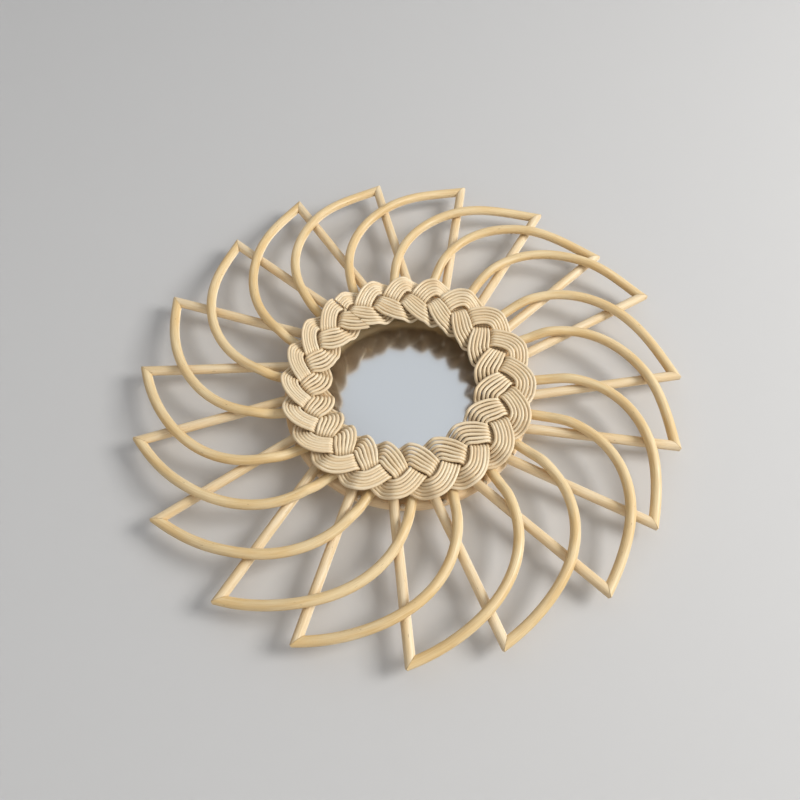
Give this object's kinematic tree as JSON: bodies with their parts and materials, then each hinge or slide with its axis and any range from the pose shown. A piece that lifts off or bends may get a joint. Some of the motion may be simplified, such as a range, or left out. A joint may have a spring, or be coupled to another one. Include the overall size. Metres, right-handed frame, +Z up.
{
  "type": "wall mirror",
  "caption": "Round wall mirror in a swirling sunburst of crossed rattan petals, with a plaited cane ring round a small glass.",
  "frame": {"origin": "centre of the flat back, on the backing board's outer face, where the mirror rests against the wall", "axes": "+Z up as the mirror hangs, +Y into the wall, so the glass faces -Y, +X to the viewer's right"},
  "size_m": [0.5337, 0.0371, 0.5282],
  "materials": {
    "rattan_rod": "pale cream-yellow rattan rod, peeled, with long fine grain and a low sheen",
    "rattan_cane": "pale cream rattan core, matt to satin",
    "pale_wood": "pale wood, sanded",
    "board": "plain brown hardboard, matt",
    "mirror": "clear silvered glass"
  },
  "bodies": {
    "root": {"petal_spoke_01": "rattan_rod", "petal_arc_01": "rattan_rod", "petal_spoke_02": "rattan_rod", "petal_arc_02": "rattan_rod", "petal_spoke_03": "rattan_rod", "petal_arc_03": "rattan_rod", "petal_spoke_04": "rattan_rod", "petal_arc_04": "rattan_rod", "petal_spoke_05": "rattan_rod", "petal_arc_05": "rattan_rod", "petal_spoke_06": "rattan_rod", "petal_arc_06": "rattan_rod", "petal_spoke_07": "rattan_rod", "petal_arc_07": "rattan_rod", "petal_spoke_08": "rattan_rod", "petal_arc_08": "rattan_rod", "petal_spoke_09": "rattan_rod", "petal_arc_09": "rattan_rod", "petal_spoke_10": "rattan_rod", "petal_arc_10": "rattan_rod", "petal_spoke_11": "rattan_rod", "petal_arc_11": "rattan_rod", "petal_spoke_12": "rattan_rod", "petal_arc_12": "rattan_rod", "petal_spoke_13": "rattan_rod", "petal_arc_13": "rattan_rod", "petal_spoke_14": "rattan_rod", "petal_arc_14": "rattan_rod", "petal_spoke_15": "rattan_rod", "petal_arc_15": "rattan_rod", "petal_spoke_16": "rattan_rod", "petal_arc_16": "rattan_rod", "petal_spoke_17": "rattan_rod", "petal_arc_17": "rattan_rod", "petal_spoke_18": "rattan_rod", "petal_arc_18": "rattan_rod", "petal_spoke_19": "rattan_rod", "petal_arc_19": "rattan_rod", "plait_strand_1": "rattan_cane", "plait_strand_2": "rattan_cane", "plait_strand_3": "rattan_cane", "base_hoop": "pale_wood", "inner_hoop": "rattan_rod", "mirror_glass": "mirror", "backing_board": "board"}
  },
  "joints": []
}
